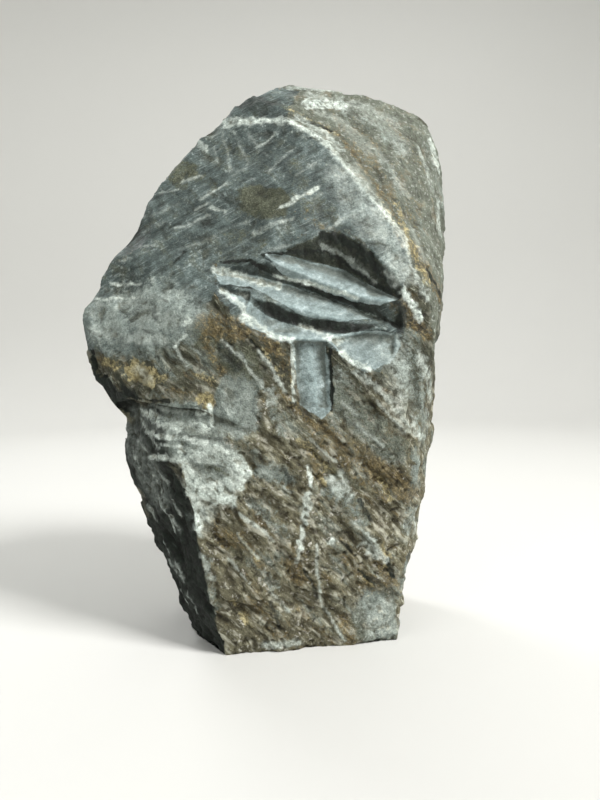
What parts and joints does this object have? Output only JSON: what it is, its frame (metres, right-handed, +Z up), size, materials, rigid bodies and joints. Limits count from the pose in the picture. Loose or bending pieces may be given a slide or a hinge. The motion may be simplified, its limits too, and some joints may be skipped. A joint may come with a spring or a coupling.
{
  "type": "rough soapstone block",
  "caption": "Rough lump of soapstone standing on a sawn flat foot, with a blue-grey split face, an ochre skin and a patch of chisel cuts.",
  "frame": {"origin": "on the sawn base, below the middle of the stone's bounding box", "axes": "+Z up along the standing stone; -Y faces the viewer, the broad front with the blue-grey face and the chisel cuts; +X is the viewer's right, the side of the tan cheek"},
  "size_m": [0.1884, 0.114, 0.2877],
  "materials": {
    "soapstone": "rough broken soapstone, blue-grey where split, ochre and tan skin, white where bruised"
  },
  "bodies": {
    "root": {"stone": "soapstone"}
  },
  "joints": []
}
